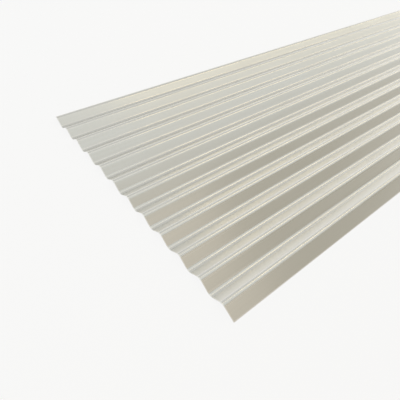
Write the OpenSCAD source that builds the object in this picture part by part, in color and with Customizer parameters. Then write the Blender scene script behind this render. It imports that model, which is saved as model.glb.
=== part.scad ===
// Corrugated metal sheet
//
// One sheet of coated steel, roll formed into round waves. It lies on its valleys on a level floor.
// X runs along the waves, Y across them towards the rear edge, and Z up.
// The origin is at the middle of the sheet, at the level of the floor.

/* [Sheet] */
// Length of the sheet, along its waves
sheet_length = 2400; // [600:50:6000]
// Thickness of the metal with its coating
sheet_thickness = 0.5; // [0.35:0.05:1.2]

/* [Waves] */
// Distance from one crest to the next
wave_pitch = 76; // [64:1:130]
// Rise of a crest above a valley
wave_depth = 18; // [12:1:24]
// Radius of every bend, at the middle of the metal
bend_radius = 17.1; // [8:0.1:20]
// Waves that the sheet covers, from its front crest to its rear crest
wave_count = 11; // [2:1:16]

/* [Side edges] */
// Distance from the front crest to the front edge, which laps over the next sheet
front_reach = 38; // [28:1:60]
// Height of the front edge above the floor
front_rise = 1; // [0.6:0.1:6]
// Straight metal left past the bend of the rear crest
rear_lip = 9; // [2:0.5:24]

/* [Hidden] */
coat_colour = [0.80, 0.79, 0.75];
$fn = 128;

// Hairline by which each straight and bend runs into the next, so that they join
hairline = 1e-3;

half_metal = sheet_thickness / 2;
crest_height = half_metal + wave_depth;

// A flank is the common inner tangent of a crest bend and the valley bend beside it
half_pitch = wave_pitch / 2;
centre_drop = wave_depth - 2 * bend_radius;
centre_distance = norm([half_pitch, centre_drop]);
flank_slope = asin(2 * bend_radius / centre_distance) + atan2(centre_drop, half_pitch);
flank_length = sqrt(centre_distance ^ 2 - (2 * bend_radius) ^ 2);

// The front flank leaves its crest bend at the slope that brings it to the front edge
front_drop = crest_height - front_rise;
front_distance = norm([front_reach, bend_radius - front_drop]);
front_slope = atan2(front_reach, bend_radius - front_drop) - acos(bend_radius / front_distance);
front_length = sqrt(front_distance ^ 2 - bend_radius ^ 2);

// Both side edges are cut square to the metal, so their upper corners stand out the furthest
front_overhang = front_reach + half_metal * sin(front_slope);
rear_overhang = (bend_radius + half_metal) * sin(flank_slope) + rear_lip * cos(flank_slope);
sheet_width = front_overhang + wave_count * wave_pitch + rear_overhang;
front_edge_y = front_overhang - front_reach - sheet_width / 2;

// The section from the front edge to the rear edge: each step is a straight length and the turn after it
crest_turn = -2 * flank_slope;
valley_turn = 2 * flank_slope;
section_steps = [
    [front_length, -front_slope - flank_slope],
    for (wave = [1 : wave_count]) each [[flank_length, valley_turn], [flank_length, crest_turn]],
    [rear_lip, 0]
];

// A bend about the origin. It starts below it and turns left, or starts above it and turns right.
module bend(turn) {
    cover = bend_radius + sheet_thickness;
    intersection() {
        difference() {
            circle(bend_radius + half_metal);
            circle(bend_radius - half_metal);
        }
        translate([0, -cover]) square([cover, 2 * cover]);
        rotate(turn) translate([hairline - cover, -cover]) square([cover, 2 * cover]);
    }
}

// Sets a piece down at a place in two steps, so that no digit of the place is lost
module set_down(place) {
    coarse = [for (distance = place) round(distance * 1000) / 1000];
    translate(coarse) translate(place - coarse) children();
}

// The metal from one step on, laid along +X from the origin. What follows a bend starts at its end.
module rolled_metal(step = 0) {
    length = section_steps[step][0];
    turn = section_steps[step][1];
    translate([0, -half_metal]) square([length + hairline, sheet_thickness]);
    if (turn != 0) {
        to_centre = sign(turn) * bend_radius;
        bend_end = [length + bend_radius * abs(sin(turn)), to_centre * (1 - cos(turn))];
        set_down([length, to_centre]) bend(turn);
        set_down(bend_end) rotate(turn) rolled_metal(step + 1);
    }
}

module corrugated_sheet() {
    color(coat_colour)
        translate([-sheet_length / 2, 0, 0])
            rotate([90, 0, 90])
                linear_extrude(sheet_length)
                    translate([front_edge_y, front_rise]) rotate(front_slope) rolled_metal();
}

corrugated_sheet();
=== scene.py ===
import math

import bpy
from mathutils import Matrix, Vector


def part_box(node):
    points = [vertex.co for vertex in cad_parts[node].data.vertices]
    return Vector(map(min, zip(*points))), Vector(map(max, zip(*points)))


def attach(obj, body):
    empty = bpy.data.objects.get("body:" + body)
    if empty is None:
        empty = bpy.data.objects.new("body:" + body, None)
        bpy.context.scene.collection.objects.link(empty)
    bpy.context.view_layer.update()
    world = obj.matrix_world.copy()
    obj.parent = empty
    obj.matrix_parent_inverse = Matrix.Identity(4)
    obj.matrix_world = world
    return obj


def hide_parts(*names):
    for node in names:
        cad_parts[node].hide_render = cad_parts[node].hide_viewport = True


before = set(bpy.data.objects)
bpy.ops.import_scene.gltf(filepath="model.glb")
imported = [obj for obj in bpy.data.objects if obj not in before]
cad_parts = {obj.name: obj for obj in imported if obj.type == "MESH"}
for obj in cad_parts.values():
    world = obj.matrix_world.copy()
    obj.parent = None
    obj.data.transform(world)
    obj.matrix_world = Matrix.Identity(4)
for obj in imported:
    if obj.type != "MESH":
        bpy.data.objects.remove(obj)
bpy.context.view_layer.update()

# The sheet's shape
# One strip of zinc-coated steel off a coil about a metre wide. Pairs of rolls bend it into round waves
# along its length, and a shear cuts it off square. Its side edges are the coil's own: a long flank in
# front that laps over the next sheet, and a short lip behind the rear crest.
millimetre = 0.001
sheet_low, sheet_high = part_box("corrugated_sheet")
sheet_length = sheet_high.x - sheet_low.x
sheet_thickness = 0.5 * millimetre
wave_pitch = 76 * millimetre
wave_depth = 18 * millimetre
bend_radius = 17.1 * millimetre
wave_count = 11
front_reach = 38 * millimetre
front_rise = 1 * millimetre
rear_lip = 9 * millimetre
rows_along_sheet = 24
steps_in_bend = 10
sharp_edge = math.radians(30)
weld_distance = sheet_thickness / 100

# A flank is the straight metal between a crest bend and a valley bend, which it meets without a kink
half_pitch = wave_pitch / 2
centre_drop = wave_depth - 2 * bend_radius
centre_distance = math.hypot(half_pitch, centre_drop)
flank_slope = math.asin(2 * bend_radius / centre_distance) + math.atan2(centre_drop, half_pitch)
flank_length = math.sqrt(centre_distance ** 2 - (2 * bend_radius) ** 2)

# The front flank is flatter and longer, so that it reaches down over the next sheet
front_drop = sheet_thickness / 2 + wave_depth - front_rise
front_distance = math.hypot(front_reach, bend_radius - front_drop)
front_slope = math.atan2(front_reach, bend_radius - front_drop) - math.acos(bend_radius / front_distance)
front_length = math.sqrt(front_distance ** 2 - bend_radius ** 2)


def heading(slope):
    """The way across the sheet, towards its rear, at a slope upwards."""
    return Vector((0, math.cos(slope), math.sin(slope)))


def draw_straight(place, slope, length):
    """Draws the metal on along a straight flank, and gives the place that it comes to."""
    run = heading(slope) * length
    bpy.ops.mesh.extrude_region_move(TRANSFORM_OT_translate={"value": run})
    return place + run


def draw_bend(place, slope, turn):
    """Draws the metal on round a bend, upwards for a positive turn. Gives its end and the slope there."""
    radius = math.copysign(bend_radius, turn)
    centre = place + heading(slope + math.pi / 2) * radius
    bpy.ops.mesh.spin(steps=steps_in_bend, angle=-turn, center=centre, axis=(1, 0, 0))
    return centre - heading(slope + turn + math.pi / 2) * radius, slope + turn


def select_points(piece, chosen):
    """Selects those points of a piece in edit mode for which chosen(point) is true."""
    bpy.ops.mesh.select_mode(type="VERT")
    bpy.ops.mesh.select_all(action="DESELECT")
    bpy.ops.object.mode_set(mode="OBJECT")
    for vertex in piece.data.vertices:
        vertex.select = chosen(vertex.co)
    bpy.ops.object.mode_set(mode="EDIT")


# The front edge is a single line as long as the sheet, cut into rows
edge_half = sheet_thickness / 2 * math.sin(front_slope)
front_edge = Vector((0, sheet_low.y + edge_half, sheet_low.z + front_rise))
bpy.ops.object.select_all(action="DESELECT")
bpy.ops.mesh.primitive_plane_add(size=sheet_length)
sheet = bpy.context.object
sheet.name = "sheet"
bpy.ops.object.mode_set(mode="EDIT")
select_points(sheet, lambda point: point.y > 0)
bpy.ops.mesh.delete(type="VERT")
bpy.ops.mesh.select_all(action="SELECT")
bpy.ops.transform.translate(value=front_edge + Vector((0, sheet_length / 2, 0)))
bpy.ops.mesh.subdivide(number_cuts=rows_along_sheet - 1)

# The line is drawn over one crest and valley after another, to the lip behind the rear crest
place = draw_straight(front_edge, front_slope, front_length)
place, slope = draw_bend(place, front_slope, -front_slope - flank_slope)
for wave in range(wave_count):
    for turn in (2 * flank_slope, -2 * flank_slope):
        place = draw_straight(place, slope, flank_length)
        place, slope = draw_bend(place, slope, turn)
draw_straight(place, slope, rear_lip)
bpy.ops.mesh.select_all(action="SELECT")
bpy.ops.mesh.remove_doubles(threshold=weld_distance)
bpy.ops.mesh.normals_make_consistent(inside=False)
bpy.ops.object.mode_set(mode="OBJECT")

# The metal gets its thickness, half to each side of the line, and its cut edges take the second finish
metal = sheet.modifiers.new("metal", "SOLIDIFY")
metal.thickness = sheet_thickness
metal.offset = 0
metal.use_even_offset = True
metal.material_offset_rim = 1
bpy.ops.object.modifier_apply(modifier=metal.name)
bpy.ops.object.shade_smooth_by_angle(angle=sharp_edge)

# The sheet's zinc coat
# Zinc, dipped on hot and levelled smooth, so that it shows no crystals. The rolls leave faint lines along
# the sheet and burnish its crests and valleys. A pale band along the cut ends and side edges is a painted
# highlight along the edges, and also stands for zinc rubbed by the shear and the slitter.
zinc_dull = (0.76, 0.75, 0.72, 1)
zinc_bright = (0.84, 0.83, 0.80, 1)
# The pale edge colour is a painted highlight along the edges, as well as rubbed zinc
rubbed_zinc_and_edge_highlight = (0.93, 0.92, 0.90, 1)
edge_band = 3 * millimetre
rubbed_roughness = 0.4
dull_tone, bright_tone = 0.3, 0.7
dull_roughness, bright_roughness = 0.35, 0.27
burnish = 0.05
burnish_start, burnish_end = 0.55, 0.95
film_weight, film_index, film_roughness = 0.6, 1.8, 0.16
cloud_size = 300 * millimetre
cloud_detail, line_detail, detail_fade = 3.0, 2.0, 0.5
mark_spacing, mark_run = 6 * millimetre, 700 * millimetre
line_spacing, line_run = 1.2 * millimetre, 250 * millimetre
line_depth = 0.002 * millimetre
slack_spacing, slack_run = 45 * millimetre, 350 * millimetre
slack_depth = 0.4 * millimetre
mix_factor, mix_first, mix_second, mix_colour = 0, 6, 7, 2


def add_node(tree, kind, inputs=None, **settings):
    """Adds a node. An input that is given an output is linked to it, and any other takes the value."""
    node = tree.nodes.new(kind)
    for name, value in settings.items():
        setattr(node, name, value)
    for name, value in (inputs or {}).items():
        if isinstance(value, bpy.types.NodeSocket):
            tree.links.new(value, node.inputs[name])
        else:
            node.inputs[name].default_value = value
    return node


def reckon(tree, operation, first, second=0.0):
    """The output of a sum on two values or outputs."""
    return add_node(tree, "ShaderNodeMath", {0: first, 1: second}, operation=operation).outputs["Value"]


def ramp(tree, value, low, high, at_low=0.0, at_high=1.0):
    """The output of a soft ramp from one value to another, as the input goes from low to high."""
    inputs = {"Value": value, "From Min": low, "From Max": high, "To Min": at_low, "To Max": at_high}
    return add_node(tree, "ShaderNodeMapRange", inputs, interpolation_type="SMOOTHSTEP").outputs["Result"]


def blend_colours(tree, factor, first, second):
    """The output of a mix of two colours."""
    inputs = {mix_factor: factor, mix_first: first, mix_second: second}
    return add_node(tree, "ShaderNodeMix", inputs, data_type="RGBA").outputs[mix_colour]


def halfway(tree, first, second):
    """The output halfway between two outputs."""
    return reckon(tree, "MULTIPLY", reckon(tree, "ADD", first, second), 0.5)


def start_material(name):
    """Starts a material. Gives it with its tree and its shader."""
    material = bpy.data.materials.new(name)
    material.use_nodes = True
    return material, material.node_tree, material.node_tree.nodes["Principled BSDF"]


def start_group(name, inputs, output):
    """Starts a node group that takes a place and some lengths. Gives its tree, inputs and output node."""
    tree = bpy.data.node_groups.new(name, "ShaderNodeTree")
    tree.interface.new_socket(name="Place", in_out="INPUT", socket_type="NodeSocketVector")
    for socket in inputs:
        tree.interface.new_socket(name=socket, in_out="INPUT", socket_type="NodeSocketFloat")
    tree.interface.new_socket(name=output, in_out="OUTPUT", socket_type="NodeSocketFloat")
    return tree, tree.nodes.new("NodeGroupInput").outputs, tree.nodes.new("NodeGroupOutput")


def add_group(tree, group, **inputs):
    """The output of a node group placed in a material."""
    return add_node(tree, "ShaderNodeGroup", inputs, node_tree=group).outputs[0]


# Soft clouds of a lighter and a darker tone, about as wide as Size
clouds, taken, given = start_group("soft clouds", ["Size"], "Clouds")
clouds_scale = reckon(clouds, "DIVIDE", 1.0, taken["Size"])
clouds_inputs = {"Vector": taken["Place"], "Scale": clouds_scale,
                 "Detail": cloud_detail, "Roughness": detail_fade}
clouds_noise = add_node(clouds, "ShaderNodeTexNoise", clouds_inputs)
clouds.links.new(clouds_noise.outputs["Fac"], given.inputs["Clouds"])

# Faint lines along the sheet, about as far apart as Spacing, which fade in and out over Run
drawn_lines, taken, given = start_group("drawn lines", ["Spacing", "Run"], "Lines")
lines_place = add_node(drawn_lines, "ShaderNodeSeparateXYZ", {"Vector": taken["Place"]}).outputs
along = reckon(drawn_lines, "DIVIDE", lines_place["X"], taken["Run"])
across = reckon(drawn_lines, "DIVIDE", lines_place["Y"], taken["Spacing"])
lines_vector = add_node(drawn_lines, "ShaderNodeCombineXYZ", {"X": along, "Y": across}).outputs["Vector"]
lines_inputs = {"Vector": lines_vector, "Scale": 1.0, "Detail": line_detail, "Roughness": detail_fade}
lines_noise = add_node(drawn_lines, "ShaderNodeTexNoise", lines_inputs)
drawn_lines.links.new(lines_noise.outputs["Fac"], given.inputs["Lines"])

coat, tree, shader = start_material("zinc coat")
spot = add_node(tree, "ShaderNodeTexCoord").outputs["Object"]
axes = add_node(tree, "ShaderNodeSeparateXYZ", {"Vector": spot}).outputs

# Tone: clouds and drawn marks in equal shares
tone_clouds = add_group(tree, clouds, Place=spot, Size=cloud_size)
tone_marks = add_group(tree, drawn_lines, Place=spot, Spacing=mark_spacing, Run=mark_run)
tone = halfway(tree, tone_clouds, tone_marks)
zinc_colour = blend_colours(tree, tone, zinc_dull, zinc_bright)

# The cut ends are at both ends of X, and the side edges at both ends of Y. The band along them is made
# paler as a painted edge highlight, and rougher as rubbed zinc
half_length = sheet_length / 2
from_middle = reckon(tree, "ABSOLUTE", axes["X"])
end_band = ramp(tree, from_middle, half_length - edge_band, half_length - edge_band / 2)
front_band = ramp(tree, axes["Y"], sheet_low.y + edge_band, sheet_low.y + edge_band / 2)
rear_band = ramp(tree, axes["Y"], sheet_high.y - edge_band, sheet_high.y - edge_band / 2)
edge_highlight_and_rub = reckon(tree, "MAXIMUM", end_band, reckon(tree, "MAXIMUM", front_band, rear_band))
tree.links.new(blend_colours(tree, edge_highlight_and_rub, zinc_colour, rubbed_zinc_and_edge_highlight), shader.inputs["Base Color"])

# Gloss: smoother on the crests and valleys, where the rolls press, and duller where the tone is dull,
# under a thin clear film that keeps the zinc from staining
middle_height = (sheet_low.z + sheet_high.z) / 2
off_middle = reckon(tree, "ABSOLUTE", reckon(tree, "SUBTRACT", axes["Z"], middle_height))
half_height = (sheet_high.z - sheet_low.z) / 2
burnished = ramp(tree, off_middle, burnish_start * half_height, burnish_end * half_height, 0.0, burnish)
gloss = ramp(tree, tone, dull_tone, bright_tone, dull_roughness, bright_roughness)
roughness = reckon(tree, "SUBTRACT", gloss, burnished)
edge_roughness = reckon(tree, "MULTIPLY", edge_highlight_and_rub, rubbed_roughness)
tree.links.new(reckon(tree, "MAXIMUM", roughness, edge_roughness), shader.inputs["Roughness"])
shader.inputs["Metallic"].default_value = 1.0
shader.inputs["Coat Weight"].default_value = film_weight
shader.inputs["Coat IOR"].default_value = film_index
shader.inputs["Coat Roughness"].default_value = film_roughness

# Relief: the metal is never quite true along its length, and the drawn lines can just be felt
slack = add_group(tree, drawn_lines, Place=spot, Spacing=slack_spacing, Run=slack_run)
lines = add_group(tree, drawn_lines, Place=spot, Spacing=line_spacing, Run=line_run)
slack_bump = add_node(tree, "ShaderNodeBump", {"Distance": slack_depth, "Height": slack})
lines_bump = add_node(tree, "ShaderNodeBump",
                      {"Distance": line_depth, "Height": lines, "Normal": slack_bump.outputs["Normal"]})
tree.links.new(lines_bump.outputs["Normal"], shader.inputs["Normal"])
sheet.data.materials.append(coat)

# The sheet's cut edges
# Bare steel between two skins of zinc, where the shear and the coil's slitter went through. It is darker
# and rougher than the coat, with fine lines from the blade.
bare_steel = (0.50, 0.49, 0.47, 1)
smeared_zinc = (0.70, 0.69, 0.67, 1)
blade_spacing, blade_run = 0.6 * millimetre, 2 * millimetre
smear_size = 20 * millimetre
bare_roughness, smeared_roughness = 0.5, 0.35
edge, tree, shader = start_material("cut edge")
spot = add_node(tree, "ShaderNodeTexCoord").outputs["Object"]
blade_lines = add_group(tree, drawn_lines, Place=spot, Spacing=blade_spacing, Run=blade_run)
smears = add_group(tree, clouds, Place=spot, Size=smear_size)
edge_tone = halfway(tree, blade_lines, smears)
tree.links.new(blend_colours(tree, edge_tone, bare_steel, smeared_zinc), shader.inputs["Base Color"])
edge_gloss = ramp(tree, edge_tone, dull_tone, bright_tone, bare_roughness, smeared_roughness)
tree.links.new(edge_gloss, shader.inputs["Roughness"])
shader.inputs["Metallic"].default_value = 1.0
sheet.data.materials.append(edge)

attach(sheet, "root")
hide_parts("corrugated_sheet")

# The floor
# A plain white studio floor that the sheet lies on. It isn't part of the object. Most of what is seen of
# it is white of its own, and the rest takes the light and the sheet's shadow.
floor_size = 40
floor_white = (0.9, 0.9, 0.9, 1)
floor_roughness = 0.9
floor_glow = 0.82
bpy.ops.object.select_all(action="DESELECT")
bpy.ops.mesh.primitive_plane_add(size=floor_size)
floor = bpy.context.object
floor.name = "floor"
paint, tree, shader = start_material("white floor")
shader.inputs["Base Color"].default_value = floor_white
shader.inputs["Roughness"].default_value = floor_roughness
glow = add_node(tree, "ShaderNodeEmission").outputs["Emission"]
ray = add_node(tree, "ShaderNodeLightPath").outputs
seen = reckon(tree, "MAXIMUM", ray["Is Camera Ray"], ray["Is Glossy Ray"])
seen = reckon(tree, "MAXIMUM", seen, ray["Is Transmission Ray"])
share = reckon(tree, "MULTIPLY", seen, floor_glow)
both = add_node(tree, "ShaderNodeMixShader", {0: share, 1: shader.outputs["BSDF"], 2: glow})
tree.links.new(both.outputs["Shader"], tree.nodes["Material Output"].inputs["Surface"])
floor.data.materials.append(paint)

# The light
# Softboxes hang level over the sheet, along its waves, in a room with white walls and a grey ceiling. The
# overhead and rear ones are broad and cool. A warm strip between them draws bright lines along the bends,
# and is dim over the near end. The front one ends over the sheet, so that the slopes darken along it.
wall_white = (0.88, 0.86, 0.8, 1)
ceiling_grey = (0.46, 0.437, 0.368, 1)
wall_top, ceiling_edge = math.radians(10), math.radians(30)
softbox_height = 2.0
row_start, row_end = -16, 24
strip_start, front_end = -0.15, 0.25
strip_front, strip_rear, rear_front = 0.38, 0.85, 1.1
world = bpy.data.worlds.new("studio")
bpy.context.scene.world = world
world.use_nodes = True
tree = world.node_tree
outlook = add_node(tree, "ShaderNodeTexCoord").outputs["Generated"]
rise = add_node(tree, "ShaderNodeSeparateXYZ", {"Vector": outlook}).outputs["Z"]
ceiling = ramp(tree, rise, math.sin(wall_top), math.sin(ceiling_edge))
room_colour = blend_colours(tree, ceiling, wall_white, ceiling_grey)
tree.links.new(room_colour, tree.nodes["Background"].inputs["Color"])


def hang_softbox(name, along, across, colour, brightness):
    """Hangs a softbox over the sheet, between two places along it and two places across it."""
    data = bpy.data.lights.new(name, "AREA")
    data.shape = "RECTANGLE"
    data.size = along[1] - along[0]
    data.size_y = across[1] - across[0]
    data.color = colour
    data.energy = brightness * math.pi * data.size * data.size_y
    box = bpy.data.objects.new(name, data)
    bpy.context.scene.collection.objects.link(box)
    box.location = (sum(along) / 2, sum(across) / 2, softbox_height)
    box.visible_camera = False


hang_softbox("rear softbox", (row_start, row_end), (rear_front, 8.0), (0.7, 0.82, 1.0), 0.26)
hang_softbox("strip softbox", (strip_start, row_end), (strip_front, strip_rear), (1.0, 0.89, 0.66), 1.08)
hang_softbox("near strip softbox", (row_start, strip_start), (strip_front, rear_front),
             (0.9, 0.95, 1.0), 0.45)
hang_softbox("overhead softbox", (row_start, row_end), (-0.65, strip_front), (0.75, 0.87, 1.0), 0.36)
hang_softbox("front softbox", (row_start, front_end), (-2.4, -0.9), (1.0, 0.9, 0.8), 0.24)

# The camera
# It stands over the front corner of the near end and looks along and across the waves.
camera_place = Vector((-1.479, -0.627, 0.6695))
camera_aim = Vector((-1.0446, -0.1399, 0.009))
camera_roll = math.radians(4.46)
sensor_width, focal_length = 36, 31.31
nearest_seen = 0.01
camera_data = bpy.data.cameras.new("camera")
camera = bpy.data.objects.new("camera", camera_data)
bpy.context.scene.collection.objects.link(camera)
camera_data.sensor_fit = "HORIZONTAL"
camera_data.sensor_width = sensor_width
camera_data.lens = focal_length
camera_data.clip_start = nearest_seen
facing = (camera_aim - camera_place).to_track_quat("-Z", "Y").to_matrix()
facing = facing @ Matrix.Rotation(camera_roll, 3, "Z")
camera.matrix_world = Matrix.Translation(camera_place) @ facing.to_4x4()
bpy.context.scene.camera = camera
bpy.context.scene.view_settings.view_transform = "Standard"
